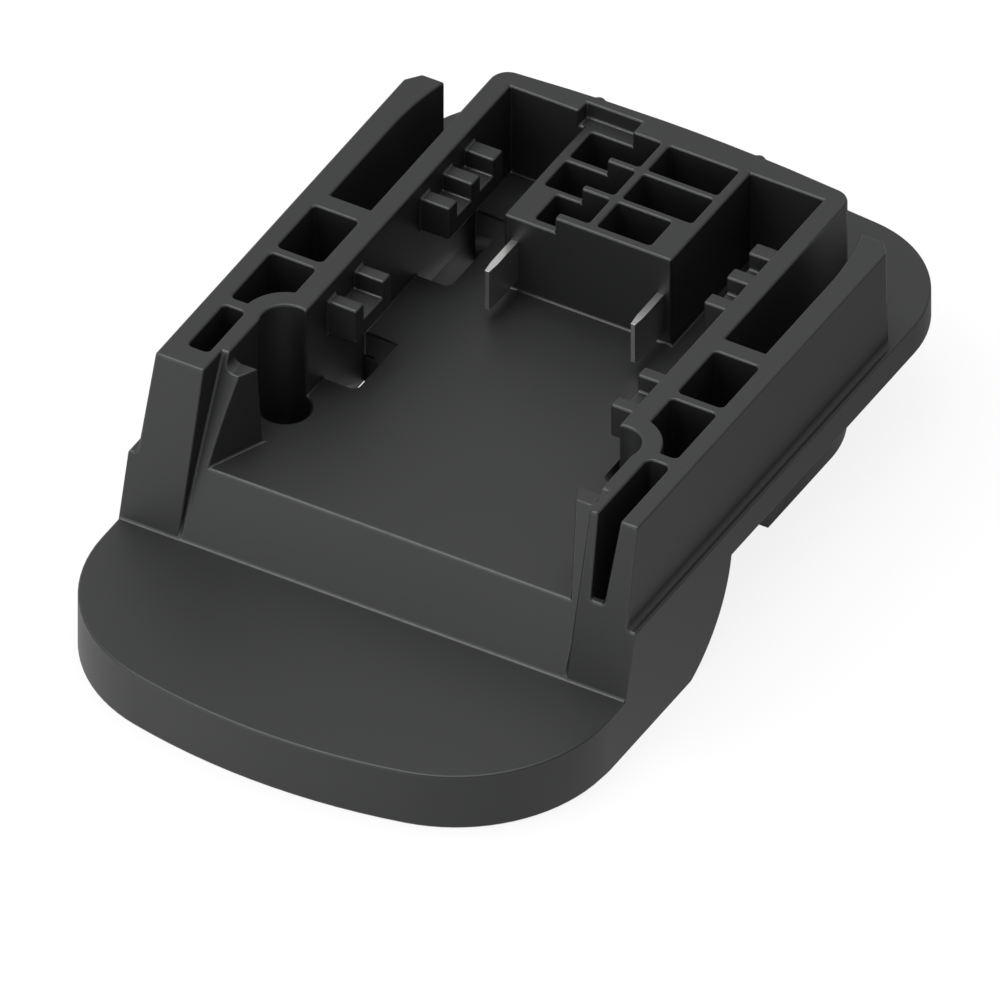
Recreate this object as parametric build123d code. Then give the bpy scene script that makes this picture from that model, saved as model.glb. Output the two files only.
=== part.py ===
from build123d import *
import os
from math import asin, atan, cos, radians, sin, sqrt, tan

# Battery adapter, in millimetres. The battery slides in along +Y between the two rails.
# The origin is under the middle of the object, on the surface it stands on, with +Z up.

# Levels above the resting face
TONGUE_TOP = 10.0
FLANGE_BOTTOM = 10.65
PLATE_BOTTOM = 15.75
FLOOR_TOP = 21.0
SLOT_BOTTOM = 23.7
TOOTH_BOTTOM = 28.8
NOTCH_FLOOR = 31.9
LOW_TOP = 34.65
TOOTH_TOP = 34.95
RAIL_TOP = 37.5
CEILING = FLOOR_TOP - 2.25

# Plate, tongue and heel
HALF_WIDTH = 43.8
SKIN = 2.5
TONGUE_APEX = -70.18
TONGUE_END_R = 105.0
TONGUE_CORNER_R = 26.3
PLATE_APEX = 70.18
PLATE_END_R = 300.0
PLATE_CORNER_R = 18.75
FRONT_FOOT_Y = -36.62
FRONT_TOP_Y = -29.24
CHANNEL_EDGE_Y = -31.41
HEEL_R = 21.0
HEEL_Y = -25.4
HEEL_Z = 19.2
BODY_BACK_Y = -2.0
HEEL_CUT = 20.0
RIB = 1.5
RIB_PITCH = 11.8
RIBS_PER_SIDE = 3
CROSS_RIBS = 4
PLATE_RIBS = 2

# Rails
RAIL_OUT = 41.7
RAIL_DRAFT = 0.6
RAIL_BACK = 47.94
RAIL_CORNER = (1.85, 2.35)
LEDGE_FILLET = 0.8
INNER_FACE = 27.0
INNER_OUT = 30.6
FIN_FACE = 33.3
NECK_FACE = 32.1
RECESS_R = 3.9
RECESS_WALL_R = 7.2
RECESS_X = 28.5
RECESS_Y = -13.07
POCKET_IN = 30.75
POCKET_OUT = 38.45
POCKET_ROUND = 0.8
POCKET_2 = (1.78, 12.96)
POCKET_3 = (-12.02, 0.06)
POCKET_4 = (-25.07, -14.12)
POCKET_4_IN = 34.9
LONG_POCKET_Y = 16.26
LONG_POCKET_OUT = 37.58
LONG_POCKET_END = 35.94
LONG_POCKET_TURN_Y = 36.5
LONG_POCKET_MID = (37.05, 42.58)
SLOT_ROUND = 1.2
SLOT_TOP_HALF = 1.9
SLOT_LOW_HALF = 1.15
SLOT_LOW_ROUND = 0.5
SLOT_LIP = 1.0
SLOT_FLOOR = CEILING + 1.5

# Lead-in wedges
WEDGE_BACK_Y = -21.9
WEDGE_FOOT = (27.3, 31.35)
WEDGE_TOP = {-1: (28.15, 33.2), 1: (27.2, 31.15)}
WEDGE_FILLET = 1.4

# Toothed segments: two on each rail
TEETH_IN = 21.9
FRONT_SEGMENT = (-3.17, 7.33)
FRONT_TEETH = ((-3.17, -0.7), (4.93, 7.33))
REAR_SEGMENT = (24.8, 41.08)
REAR_TEETH = ((24.8, 27.43), (31.58, 34.26), (38.15, 41.08))

# Openings of the floor under the teeth
HOLE_IN = 21.15
HOLE_OUT = INNER_FACE
FRONT_HOLE = (-4.45, 8.23)
REAR_HOLE = (23.6, 41.45)
HOLE_ROUND = 1.2
COLLAR = 1.75
COLLAR_BOTTOM = 16.65

# Back wall
BACK_IN = 52.0
BACK_OUT = 56.6
BACK_R = 300.0
BACK_CORNER_R = 3.0
BACK_RIB_X = 13.8
BACK_RIB_R = 1.0
BACK_RIB_PROUD = 0.4
BACK_NOTCH = (-15.2, 54.43)

# Contact block
BLOCK_HALF = 14.48
BLOCK_FRONT = 28.18
BLOCK_STEP_X = -5.7
CELL_RIB_HALF = 0.75
CELLS = ((29.83, 36.2, 9.9), (37.48, 43.86, 12.68), (45.13, 51.6, 12.68))
CELL_ROUND = 0.5

# Contact blades
BLADE_X = 12.6
BLADE = 1.2
BLADE_TIP = 0.75
BLADE_TAPER = 2.2
BLADE_FRONT = 19.85
BLADE_BOTTOM = 22.95
BLADE_TOP = 30.3
TAIL = (29.5, 34.5)
TAIL_BOTTOM = 11.8

# Screw towers for the two round holes
TOWER_R = 6.2
SEAT_Z = 4.0
SCREW_HOLE_R = 2.25

# Lower moulding
FLANGE_HALF = 42.3
FLANGE = (8.83, 45.88)
FLANGE_CORNER_R = 18.0
FLANGE_SKIN = 2.25
FOOT_WALL_IN = 16.6
FOOT_WALL_OUT = 18.4
FOOT_Y = (12.13, 42.88)
FOOT_END_WALL = 1.88
FOOT_FLOOR = 2.0
LEG_IN = 23.65
RIM_WALL = 1.75
RIM_TOP = 16.6
BRIDGE = (15.0, 23.4)
SLOT_HALF = 1.0
SLOT_Z = (3.4, 9.2)
KEY_RIB = (27.45, 29.2)
KEY_RIB_BOTTOM = 10.8

# Screws that hold the lower moulding
FOOT_SCREWS = ((33.0, 14.6), (33.0, 37.0))
BOSS_R = 3.4
PILOT_R = 1.45
SHANK_R = 1.4
SHANK_TOP = 19.6
HEAD_R = 2.6
HEAD_CLEAR = 0.45
HEAD_Z = (11.3, 13.0)
DRIVE_R = 0.9

# Contact carrier, its screws and the spring contacts
CARRIER_HALF = 16.4
CARRIER_Y = (29.5, 41.0)
CARRIER_TOP = 10.4
CHANNEL_HALF = 1.7
CARRIER_SCREW = (6.0, 35.0)
CARRIER_SHANK_R = 1.05
CARRIER_HEAD_R = 2.2
CARRIER_HEAD = 1.5
POST_R = 2.4
POST_TOP = 6.0
LEAF = 0.5
LEAF_GAP = 0.45
LEAF_Z = (3.2, 9.0)
SPRING_END = 40.6
SPRING_BASE = 30.5
BASE_DEPTH = 1.5
TAB_Y = 21.6
TAB_Z = (4.0, 9.0)

# Push-on terminals and leads
TERMINAL_HALF = 1.2
TERMINAL_CLEAR = 0.02
TERMINAL_SPAN = 5.6
TERMINAL_TALL = 6.0
BARREL_R = 1.25
BARREL_END = 9.6
LEAD_R = 0.8
UPPER_END = (32.0, 14.6)
LOWER_END = (24.0, 6.5)
LEAD_TURN = 45.0
ARC_SHARE = 0.45

# Left and right
SIDES = (-1, 1)


def block(x, y, z):
    """A box given by its low and high corners along each axis."""
    size = (x[1] - x[0], y[1] - y[0], z[1] - z[0])
    middle = ((x[0] + x[1]) / 2, (y[0] + y[1]) / 2, (z[0] + z[1]) / 2)
    return Pos(*middle) * Box(*size)


def side_span(side, low, high):
    """The same stretch of x on the left (-1) or the right (1)."""
    return (low, high) if side > 0 else (-high, -low)


def upright(face, z):
    """A plan outline raised between two levels."""
    return Pos(0, 0, z[0]) * extrude(face, z[1] - z[0])


def across(points, x):
    """A side profile of (y, z) points drawn across the object between two x places."""
    profile = Plane.YZ * make_face(Polyline([*points, points[0]]))
    return Pos(x[0], 0, 0) * extrude(profile, x[1] - x[0])


def post(x, y, r, z):
    """A round upright pin or hole."""
    return Pos(x, y, (z[0] + z[1]) / 2) * Cylinder(r, z[1] - z[0])


def rounded_end(half_width, corner_r, end_r, apex, start):
    """Plan outline with straight sides from start, two corner arcs and a shallow end arc."""
    way = 1 if apex > start else -1
    end_centre = apex - way * end_r
    corner_x = half_width - corner_r
    corner_y = end_centre + way * sqrt((end_r - corner_r) ** 2 - corner_x**2)
    lean = asin(corner_x / (end_r - corner_r))
    touch = (end_r * sin(lean), end_centre + way * end_r * cos(lean))
    half = (radians(90) - lean) / 2
    bend = (corner_x + corner_r * cos(half), corner_y + way * corner_r * sin(half))
    left = [(-half_width, start), (-half_width, corner_y)]
    right = [(half_width, corner_y), (half_width, start)]
    outline = Line(*left)
    outline += ThreePointArc(left[1], (-bend[0], bend[1]), (-touch[0], touch[1]))
    outline += ThreePointArc((-touch[0], touch[1]), (0, apex), touch)
    outline += ThreePointArc(touch, bend, right[0])
    outline += Line(*right)
    outline += Line(right[1], left[0])
    return make_face(outline)


def front_y(z):
    """The front plane of the rails and skirt at one level."""
    slope = (FRONT_TOP_Y - FRONT_FOOT_Y) / (RAIL_TOP - TONGUE_TOP)
    return FRONT_FOOT_Y + slope * (z - TONGUE_TOP)


def channel_y(z):
    """The steeper front slope between the rails at one level."""
    slope = (CHANNEL_EDGE_Y - FRONT_FOOT_Y) / (FLOOR_TOP - TONGUE_TOP)
    return FRONT_FOOT_Y + slope * (z - TONGUE_TOP)


def heel_profile(radius, top, front, low):
    """Side profile between a straight front and the round rear of the heel."""
    reach = sqrt(radius**2 - (top - HEEL_Z) ** 2)
    upper = (HEEL_Y + reach, top)
    run = sqrt(radius**2 - (HEEL_Z - low) ** 2)
    lower = (HEEL_Y + run, low)
    turn = radians(-45)
    middle = (HEEL_Y + radius * cos(turn), HEEL_Z + radius * sin(turn))
    edges = ThreePointArc(upper, middle, lower)
    edges += Polyline([lower, *front, upper])
    return Plane.YZ * make_face(edges)


def lower_body():
    """Tongue, heel and plate as one solid outside shape."""
    tongue = upright(
        rounded_end(HALF_WIDTH, TONGUE_CORNER_R, TONGUE_END_R, TONGUE_APEX, HEEL_Y), (0, TONGUE_TOP)
    )
    front = [(FRONT_FOOT_Y, 0), (FRONT_FOOT_Y, TONGUE_TOP), (channel_y(PLATE_BOTTOM), PLATE_BOTTOM)]
    heel = extrude(heel_profile(HEEL_R, PLATE_BOTTOM, front, 0), HALF_WIDTH, both=True)
    plate = upright(
        rounded_end(HALF_WIDTH, PLATE_CORNER_R, PLATE_END_R, PLATE_APEX, HEEL_Y),
        (PLATE_BOTTOM, FLOOR_TOP),
    )
    slope = [(channel_y(PLATE_BOTTOM), PLATE_BOTTOM), (CHANNEL_EDGE_Y, FLOOR_TOP)]
    nose = across([*slope, (HEEL_Y, FLOOR_TOP), (HEEL_Y, PLATE_BOTTOM)], (-HALF_WIDTH, HALF_WIDTH))
    body = tongue + heel + plate + nose
    cheek = [(FRONT_FOOT_Y, TONGUE_TOP), (front_y(FLOOR_TOP), FLOOR_TOP), (HEEL_Y, FLOOR_TOP)]
    for side in SIDES:
        body += across([*cheek, (HEEL_Y, TONGUE_TOP)], side_span(side, FIN_FACE, HALF_WIDTH))
    return body


def rail_section(side):
    """Cross-section of a whole rail: draft on its outer face and a fillet where that meets the ledge."""
    low = RAIL_OUT + RAIL_DRAFT
    points = [(INNER_FACE, FLOOR_TOP), (INNER_FACE, RAIL_TOP), (RAIL_OUT, RAIL_TOP)]
    points += [(low, FLOOR_TOP + LEDGE_FILLET)]
    left = [(side * x, z) for x, z in points]
    end = (side * (low + LEDGE_FILLET), FLOOR_TOP)
    turn = LEDGE_FILLET * (1 - cos(radians(45)))
    outline = Polyline(left)
    outline += ThreePointArc(left[-1], (side * (low + turn), FLOOR_TOP + turn), end)
    outline += Line(end, left[0])
    return make_face(outline)


def rail(side):
    """One rail: outer and inner wall with the cross ribs and pockets between them."""
    length = RAIL_BACK - FRONT_FOOT_Y
    body = Pos(0, RAIL_BACK, 0) * extrude(Plane.XZ * rail_section(side), length)
    cut_x, cut_y = RAIL_CORNER
    start = RAIL_OUT - cut_x
    end = RAIL_BACK - (HALF_WIDTH - start) * cut_y / cut_x
    corner = [(start, RAIL_BACK), (HALF_WIDTH, RAIL_BACK), (HALF_WIDTH, end)]
    points = [(side * x, y) for x, y in corner]
    body -= upright(make_face(Polyline([*points, points[0]])), (FLOOR_TOP, RAIL_TOP))
    ahead = FRONT_FOOT_Y - SKIN
    front = [(ahead, FLOOR_TOP), (front_y(FLOOR_TOP), FLOOR_TOP), (FRONT_TOP_Y, RAIL_TOP)]
    front += [(ahead, RAIL_TOP)]
    body -= across(front, (-HALF_WIDTH, HALF_WIDTH))
    slope = [(ahead, FLOOR_TOP), (CHANNEL_EDGE_Y, FLOOR_TOP), (channel_y(RAIL_TOP), RAIL_TOP)]
    slope += [(ahead, RAIL_TOP)]
    body -= across(slope, side_span(side, 0, FIN_FACE))
    body -= block(side_span(side, 0, NECK_FACE), (ahead, RECESS_Y), (FLOOR_TOP, RAIL_TOP))
    body -= post(side * RECESS_X, RECESS_Y, RECESS_R, (FLOOR_TOP, RAIL_TOP))
    return body - rail_pockets(side)


def pocket(side, x, y, floor):
    """An open-topped pocket with rounded corners."""
    outline = Pos((x[0] + x[1]) / 2 * side, (y[0] + y[1]) / 2) * RectangleRounded(
        x[1] - x[0], y[1] - y[0], POCKET_ROUND
    )
    return upright(outline, (floor, RAIL_TOP))


def front_slot():
    """The right front pocket: a tapered slot that runs out through the front over a low lip."""
    middle = (POCKET_4_IN + POCKET_OUT) / 2
    top = [(middle - SLOT_TOP_HALF, RAIL_TOP), (middle + SLOT_TOP_HALF, RAIL_TOP)]
    r = SLOT_LOW_ROUND
    turn = r * cos(radians(45))
    low_z, flat = SLOT_BOTTOM + r, SLOT_LOW_HALF - r
    low = [(middle + SLOT_LOW_HALF, low_z), (middle - SLOT_LOW_HALF, low_z)]
    base = [(middle + flat, SLOT_BOTTOM), (middle - flat, SLOT_BOTTOM)]
    outline = Line(*top)
    outline += Line(top[1], low[0])
    outline += ThreePointArc(low[0], (middle + flat + turn, low_z - turn), base[0])
    outline += Line(*base)
    outline += ThreePointArc(base[1], (middle - flat - turn, low_z - turn), low[1])
    outline += Line(low[1], top[0])
    face = Plane.XZ * make_face(outline)
    taper = Pos(0, POCKET_4[1], 0) * extrude(face, POCKET_4[1] - FRONT_FOOT_Y)
    ahead = FRONT_FOOT_Y - SKIN
    plan = Pos(middle, (POCKET_4[1] + ahead) / 2) * RectangleRounded(
        2 * SLOT_TOP_HALF, POCKET_4[1] - ahead, SLOT_ROUND
    )
    slot = taper & upright(plan, (SLOT_BOTTOM, RAIL_TOP))
    width = (middle - SLOT_LOW_HALF, middle + SLOT_LOW_HALF)
    well = block(width, (front_y(SLOT_BOTTOM) + SLOT_LIP, POCKET_4[1]), (SLOT_FLOOR, low_z))
    return slot + (well & upright(plan, (SLOT_FLOOR, low_z)))


def long_pocket(side):
    """The rear pocket: open at the back, its outer wall thickening towards the end."""
    inner = [(side * INNER_OUT, LONG_POCKET_Y), (side * INNER_OUT, RAIL_BACK)]
    outer = [(side * LONG_POCKET_END, RAIL_BACK), (side * LONG_POCKET_OUT, LONG_POCKET_TURN_Y)]
    middle = (side * LONG_POCKET_MID[0], LONG_POCKET_MID[1])
    start = (side * LONG_POCKET_OUT, LONG_POCKET_Y)
    outline = Polyline([start, *inner, outer[0]])
    outline += ThreePointArc(outer[0], middle, outer[1])
    outline += Line(outer[1], start)
    return upright(make_face(outline), (FLOOR_TOP, RAIL_TOP))


def rail_pockets(side):
    """All the pockets of one rail, the third kept clear of the wall round the screw recess."""
    cuts = long_pocket(side)
    cuts += pocket(side, (POCKET_IN, POCKET_OUT), POCKET_2, FLOOR_TOP)
    cuts += pocket(side, (POCKET_IN, POCKET_OUT), POCKET_3, FLOOR_TOP)
    cuts -= post(side * RECESS_X, RECESS_Y, RECESS_WALL_R, (FLOOR_TOP, RAIL_TOP))
    if side > 0:
        cuts += front_slot()
    else:
        cuts += pocket(side, (POCKET_4_IN, POCKET_OUT), POCKET_4, SLOT_BOTTOM)
    return cuts


def wedge(side):
    """Lead-in wedge on the inside of a rail, with a hollow blend up to the rail's top."""
    ends = []
    for (back_x, front_x), z in ((WEDGE_FOOT, FLOOR_TOP), (WEDGE_TOP[side], LOW_TOP)):
        plan = [(back_x, WEDGE_BACK_Y), (front_x, CHANNEL_EDGE_Y)]
        plan += [(FIN_FACE, CHANNEL_EDGE_Y), (FIN_FACE, WEDGE_BACK_Y)]
        points = [(side * x, y) for x, y in plan]
        ends.append(Pos(0, 0, z) * make_face(Polyline([*points, points[0]])))
    body = loft(ends, ruled=True)
    blend = block(
        side_span(side, NECK_FACE - WEDGE_FILLET, NECK_FACE),
        (CHANNEL_EDGE_Y, WEDGE_BACK_Y),
        (LOW_TOP, LOW_TOP + WEDGE_FILLET),
    )
    hollow = Rot(90, 0, 0) * Cylinder(WEDGE_FILLET, 2 * (WEDGE_BACK_Y - CHANNEL_EDGE_Y))
    blend -= Pos(side * (NECK_FACE - WEDGE_FILLET), WEDGE_BACK_Y, LOW_TOP + WEDGE_FILLET) * hollow
    body += blend
    ahead = FRONT_FOOT_Y - SKIN
    slope = [(ahead, FLOOR_TOP), (CHANNEL_EDGE_Y, FLOOR_TOP), (channel_y(RAIL_TOP), RAIL_TOP)]
    return body - across([*slope, (ahead, RAIL_TOP)], (-HALF_WIDTH, HALF_WIDTH))


def teeth(side, segment, tops):
    """A shelf along the inner wall that carries upright teeth."""
    reach = side_span(side, TEETH_IN, INNER_FACE)
    body = block(reach, segment, (TOOTH_BOTTOM, NOTCH_FLOOR))
    for tooth in tops:
        body += block(reach, tooth, (NOTCH_FLOOR, TOOTH_TOP))
    return body


def back_wall():
    """Back wall with its shallow outward curve, two half-round ribs and the inner walls' rear ends."""
    start = RAIL_BACK - RAIL_CORNER[1]
    outline = rounded_end(INNER_OUT, BACK_CORNER_R, BACK_R, BACK_OUT, start)
    body = upright(outline, (FLOOR_TOP, RAIL_TOP))
    body -= block((-INNER_FACE, INNER_FACE), (start, BACK_IN), (FLOOR_TOP, RAIL_TOP))
    fall = BACK_R - sqrt(BACK_R**2 - BACK_RIB_X**2)
    rib_y = BACK_OUT - fall + BACK_RIB_PROUD - BACK_RIB_R
    for side in SIDES:
        body += post(side * BACK_RIB_X, rib_y, BACK_RIB_R, (FLOOR_TOP, RAIL_TOP))
    notch_x, notch_y = BACK_NOTCH
    return body - block((notch_x, BLOCK_STEP_X), (start, notch_y), (LOW_TOP, RAIL_TOP))


def contact_block():
    """Block in front of the back wall with six open cells, lower on its left part."""
    body = block((-BLOCK_HALF, BLOCK_HALF), (BLOCK_FRONT, BACK_IN), (FLOOR_TOP, RAIL_TOP))
    body -= block((-BLOCK_HALF, BLOCK_STEP_X), (BLOCK_FRONT, BACK_IN), (LOW_TOP, RAIL_TOP))
    for front, rear, reach in CELLS:
        for side in SIDES:
            middle = side * (reach + CELL_RIB_HALF) / 2
            cell = Pos(middle, (front + rear) / 2) * RectangleRounded(
                reach - CELL_RIB_HALF, rear - front, CELL_ROUND
            )
            body -= upright(cell, (FLOOR_TOP, RAIL_TOP))
    return body


def rib_grid(y_stop):
    """Crossing ribs that stiffen the hollow underside of the tongue and heel."""
    ribs = block((-RIB / 2, RIB / 2), (TONGUE_APEX, y_stop), (0, FLOOR_TOP))
    for step in range(1, RIBS_PER_SIDE + 1):
        for side in SIDES:
            x = side * step * RIB_PITCH
            ribs += block((x - RIB / 2, x + RIB / 2), (TONGUE_APEX, y_stop), (0, FLOOR_TOP))
    for step in range(1, CROSS_RIBS + 1):
        y = TONGUE_APEX + SKIN + step * RIB_PITCH
        ribs += block((-HALF_WIDTH, HALF_WIDTH), (y, y + RIB), (0, FLOOR_TOP))
    return ribs


def front_hollow():
    """The space under the tongue and heel that the ribs divide."""
    top = TONGUE_TOP - SKIN
    hollow = upright(
        rounded_end(
            HALF_WIDTH - SKIN,
            TONGUE_CORNER_R - SKIN,
            TONGUE_END_R - SKIN,
            TONGUE_APEX + SKIN,
            HEEL_Y,
        ),
        (0, top),
    )
    radius = HEEL_R - SKIN
    low = HEEL_Z - radius * cos(radians(HEEL_CUT))
    back = HEEL_Y + radius * sin(radians(HEEL_CUT))
    lean = atan((CHANNEL_EDGE_Y - FRONT_FOOT_Y) / (FLOOR_TOP - TONGUE_TOP))
    slope = SKIN / cos(lean)
    front = [(back, 0), (FRONT_FOOT_Y + slope, 0), (channel_y(top) + slope, top)]
    front += [(channel_y(CEILING) + slope, CEILING)]
    hollow += extrude(heel_profile(radius, CEILING, front, low), HALF_WIDTH - SKIN, both=True)
    hollow -= rib_grid(BODY_BACK_Y)
    for side in SIDES:
        hollow -= post(side * RECESS_X, RECESS_Y, TOWER_R, (0, FLOOR_TOP))
    return hollow


def plate_hollow():
    """The shallow space under the plate, with bosses and the openings' collars left in it."""
    outline = rounded_end(
        HALF_WIDTH - SKIN,
        PLATE_CORNER_R - SKIN,
        PLATE_END_R - SKIN,
        PLATE_APEX - SKIN,
        BODY_BACK_Y,
    )
    hollow = upright(outline, (PLATE_BOTTOM, CEILING))
    for side in SIDES:
        for x, y in FOOT_SCREWS:
            hollow -= post(side * x, y, BOSS_R, (PLATE_BOTTOM, CEILING))
        reach = side_span(side, HOLE_IN - COLLAR, HOLE_OUT + COLLAR)
        for front, rear in (FRONT_HOLE, REAR_HOLE):
            hollow -= block(reach, (front - COLLAR, rear + COLLAR), (COLLAR_BOTTOM, CEILING))
    for step in range(PLATE_RIBS):
        y = FLANGE[1] + COLLAR + step * RIB_PITCH
        hollow -= block((-HALF_WIDTH, HALF_WIDTH), (y, y + RIB), (PLATE_BOTTOM, CEILING))
    return hollow


def floor_hole(side, front, rear):
    """An opening through the floor, its front inner corner rounded."""
    near, far = side * HOLE_IN, side * HOLE_OUT
    start = side * (HOLE_IN + HOLE_ROUND)
    turn = HOLE_ROUND * (1 - cos(radians(45)))
    outline = ThreePointArc(
        (start, front), (side * (HOLE_IN + turn), front + turn), (near, front + HOLE_ROUND)
    )
    outline += Polyline((near, front + HOLE_ROUND), (near, rear), (far, rear), (far, front), (start, front))
    return upright(make_face(outline), (0, FLOOR_TOP))


def housing():
    """The upper moulding, from tongue to back wall."""
    body = lower_body()
    for side in SIDES:
        body += rail(side)
        body += wedge(side)
        body += teeth(side, FRONT_SEGMENT, FRONT_TEETH)
        body += teeth(side, REAR_SEGMENT, REAR_TEETH)
    body += back_wall()
    body += contact_block()
    body -= front_hollow()
    body -= plate_hollow()
    for side in SIDES:
        for front, rear in (FRONT_HOLE, REAR_HOLE):
            body -= floor_hole(side, front, rear)
        key_rib = (HEEL_Y + HEEL_R - SKIN, FLANGE[0])
        body += block(side_span(side, *KEY_RIB), key_rib, (KEY_RIB_BOTTOM, CEILING))
        body += post(side * RECESS_X, RECESS_Y, TOWER_R, (0, CEILING))
        body -= post(side * RECESS_X, RECESS_Y, RECESS_R, (SEAT_Z, FLOOR_TOP))
        body -= post(side * RECESS_X, RECESS_Y, SCREW_HOLE_R, (0, SEAT_Z))
        for x, y in FOOT_SCREWS:
            body -= post(side * x, y, PILOT_R, (PLATE_BOTTOM, SHANK_TOP))
        body -= contact_blade(side)
    return body


def contact_blade(side):
    """Flat blade that stands out of the contact block, with a tail down through the floor."""
    profile = [(BLADE_FRONT, BLADE_BOTTOM), (BLADE_FRONT, BLADE_TOP), (TAIL[1], BLADE_TOP)]
    profile += [(TAIL[1], TAIL_BOTTOM), (TAIL[0], TAIL_BOTTOM), (TAIL[0], BLADE_BOTTOM)]
    middle = side * BLADE_X
    body = across(profile, (middle - BLADE / 2, middle + BLADE / 2))
    for face in SIDES:
        outer = middle + face * BLADE
        edge = middle + face * BLADE / 2
        tip = middle + face * BLADE_TIP / 2
        back = BLADE_FRONT + BLADE_TAPER
        plan = [(tip, BLADE_FRONT), (edge, back), (outer, back), (outer, BLADE_FRONT)]
        body -= upright(make_face(Polyline([*plan, plan[0]])), (BLADE_BOTTOM, BLADE_TOP))
    return body


def foot_outline(inset):
    """Plan outline of the lower moulding's flange."""
    half = FLANGE_HALF - inset
    front, rear = FLANGE[0] + inset, FLANGE[1] - inset
    r = FLANGE_CORNER_R - inset
    straight = rear - r
    turn = r * cos(radians(45))
    outline = Line((-half, front), (-half, straight))
    outline += ThreePointArc((-half, straight), (r - half - turn, straight + turn), (r - half, rear))
    outline += Line((r - half, rear), (half - r, rear))
    outline += ThreePointArc((half - r, rear), (half - r + turn, straight + turn), (half, straight))
    outline += Line((half, straight), (half, front))
    outline += Line((half, front), (-half, front))
    return make_face(outline)


def bays(side):
    """The open spaces beside the plug, under the floor's openings, with a bridge between them."""
    x = side_span(side, FOOT_WALL_OUT, LEG_IN)
    z = (FLANGE_BOTTOM, PLATE_BOTTOM)
    cuts = block(x, (FRONT_HOLE[1], BRIDGE[0]), z)
    cuts += block(x, (BRIDGE[1], FLANGE[1]), z)
    return cuts + block(side_span(side, FOOT_WALL_OUT, HOLE_OUT), REAR_HOLE, z)


def bay_rims(side):
    """Walls along the outer side of the bays, and round the rear opening down to the flange."""
    leg = side_span(side, LEG_IN, LEG_IN + RIM_WALL)
    z = (FLANGE_BOTTOM, RIM_TOP)
    walls = block(leg, (FRONT_HOLE[1], REAR_HOLE[0]), z)
    walls += block(leg, (REAR_HOLE[1], FLANGE[1] - FLANGE_SKIN / 2), z)
    behind = side_span(side, LEG_IN, HOLE_OUT + RIM_WALL)
    walls += block(behind, (REAR_HOLE[1], REAR_HOLE[1] + COLLAR), z)
    sides = side_span(side, HOLE_OUT, HOLE_OUT + RIM_WALL)
    return walls + block(sides, (REAR_HOLE[0] - COLLAR, REAR_HOLE[1] + COLLAR), z)


def device_foot():
    """Lower moulding: a flange under the plate and a hollow plug that goes into the device."""
    body = upright(foot_outline(0), (FLANGE_BOTTOM, PLATE_BOTTOM))
    body -= upright(foot_outline(FLANGE_SKIN), (FLANGE_BOTTOM + FLANGE_SKIN, PLATE_BOTTOM))
    middle = (BRIDGE[0] + BRIDGE[1]) / 2
    for side in SIDES:
        body -= bays(side)
        body += bay_rims(side)
        across_bay = side_span(side, FOOT_WALL_OUT, LEG_IN)
        rib = (middle - RIB / 2, middle + RIB / 2)
        body += block(across_bay, rib, (FLANGE_BOTTOM, PLATE_BOTTOM))
    body += block((-FOOT_WALL_OUT, FOOT_WALL_OUT), FOOT_Y, (0, PLATE_BOTTOM))
    inner = (FOOT_Y[0] + FOOT_END_WALL, FOOT_Y[1] - FOOT_END_WALL)
    body -= block((-FOOT_WALL_IN, FOOT_WALL_IN), inner, (FOOT_FLOOR, PLATE_BOTTOM))
    for side in SIDES:
        for x, y in FOOT_SCREWS:
            body += post(side * x, y, BOSS_R, (FLANGE_BOTTOM, PLATE_BOTTOM))
            body -= post(side * x, y, HEAD_R + HEAD_CLEAR, (FLANGE_BOTTOM, HEAD_Z[1]))
            body -= post(side * x, y, PILOT_R, (HEAD_Z[1], PLATE_BOTTOM))
        slot = side_span(side, BLADE_X - SLOT_HALF, BLADE_X + SLOT_HALF)
        body -= block(slot, (inner[1], FOOT_Y[1]), SLOT_Z)
        x, y = CARRIER_SCREW
        body += post(side * x, y, POST_R, (FOOT_FLOOR, POST_TOP))
        body -= post(side * x, y, CARRIER_SHANK_R, (FOOT_FLOOR, POST_TOP))
    return body


def contact_carrier():
    """Insulating block that holds both spring contacts against the plug's rear wall."""
    body = block((-CARRIER_HALF, CARRIER_HALF), CARRIER_Y, (FOOT_FLOOR, CARRIER_TOP))
    for side in SIDES:
        channel = side_span(side, BLADE_X - CHANNEL_HALF, BLADE_X + CHANNEL_HALF)
        body -= block(channel, CARRIER_Y, (LEAF_Z[0] - LEAF, LEAF_Z[1] + LEAF))
        x, y = CARRIER_SCREW
        body -= post(side * x, y, POST_R, (FOOT_FLOOR, POST_TOP))
        body -= post(side * x, y, CARRIER_SHANK_R, (POST_TOP, CARRIER_TOP))
    return body


def spring_contact(side):
    """Two facing leaves joined at a base, with a flat tab for the terminal."""
    middle = side * BLADE_X
    start = SPRING_BASE - BASE_DEPTH
    body = block((middle - BLADE / 2, middle + BLADE / 2), (TAB_Y, SPRING_BASE), TAB_Z)
    for face in SIDES:
        near = middle + face * LEAF_GAP
        leaf = tuple(sorted((near, near + face * LEAF)))
        body += block(leaf, (start, SPRING_END), LEAF_Z)
    half = LEAF_GAP + LEAF
    body += block((middle - half, middle + half), (start, SPRING_BASE), LEAF_Z)
    return body


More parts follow.
